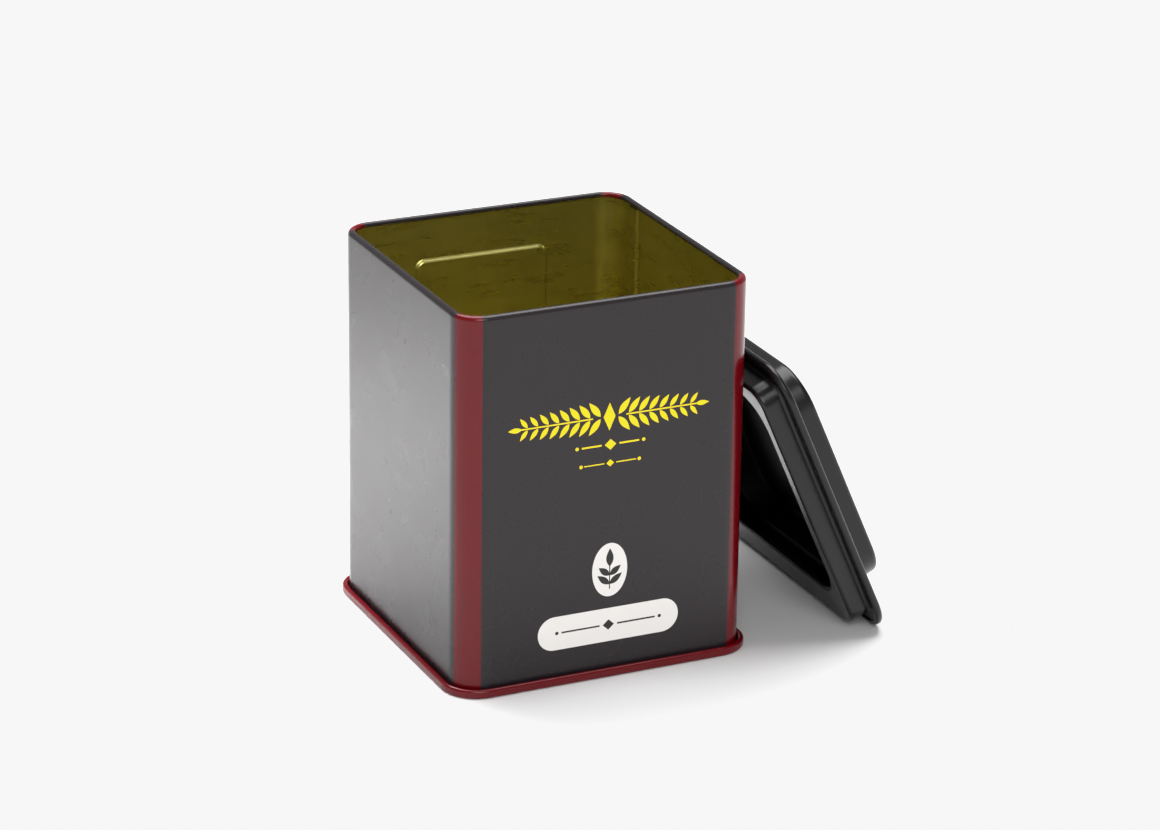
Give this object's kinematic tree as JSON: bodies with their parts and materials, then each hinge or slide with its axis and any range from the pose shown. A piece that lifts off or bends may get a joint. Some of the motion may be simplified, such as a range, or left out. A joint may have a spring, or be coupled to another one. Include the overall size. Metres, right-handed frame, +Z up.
{
  "type": "square lithographed tin",
  "caption": "Tall square tinplate canister with a curled rim, seamed base and a stepped plug lid that stands leaning beside it.",
  "frame": {"origin": "on the table, under the middle of the box around the open tin and its leaning lid", "axes": "+Z up out of the tin's mouth, +X from the tin towards the leaning lid, +Y towards the wall with the pressed label panel"},
  "size_m": [0.1298, 0.093, 0.1057],
  "materials": {
    "printed_black_tinplate": "satin charcoal print with dark red corner stripes outside, clear gold lacquer inside",
    "printed_red_tinplate": "semi-gloss dark red outside, clear gold lacquer inside",
    "black_lid_lacquer": "satin black",
    "black_plug_lacquer": "semi-gloss black"
  },
  "bodies": {
    "tin": {"body_shell": "printed_black_tinplate", "base_pan": "printed_red_tinplate"},
    "lid": {"lid_cap": "black_lid_lacquer", "lid_plug": "black_plug_lacquer"}
  },
  "joints": [
    {"name": "lid_lift", "type": "slide", "parent": "tin", "child": "lid", "axis": [0, 0, 1], "range_m": [0, 0.12]}
  ]
}
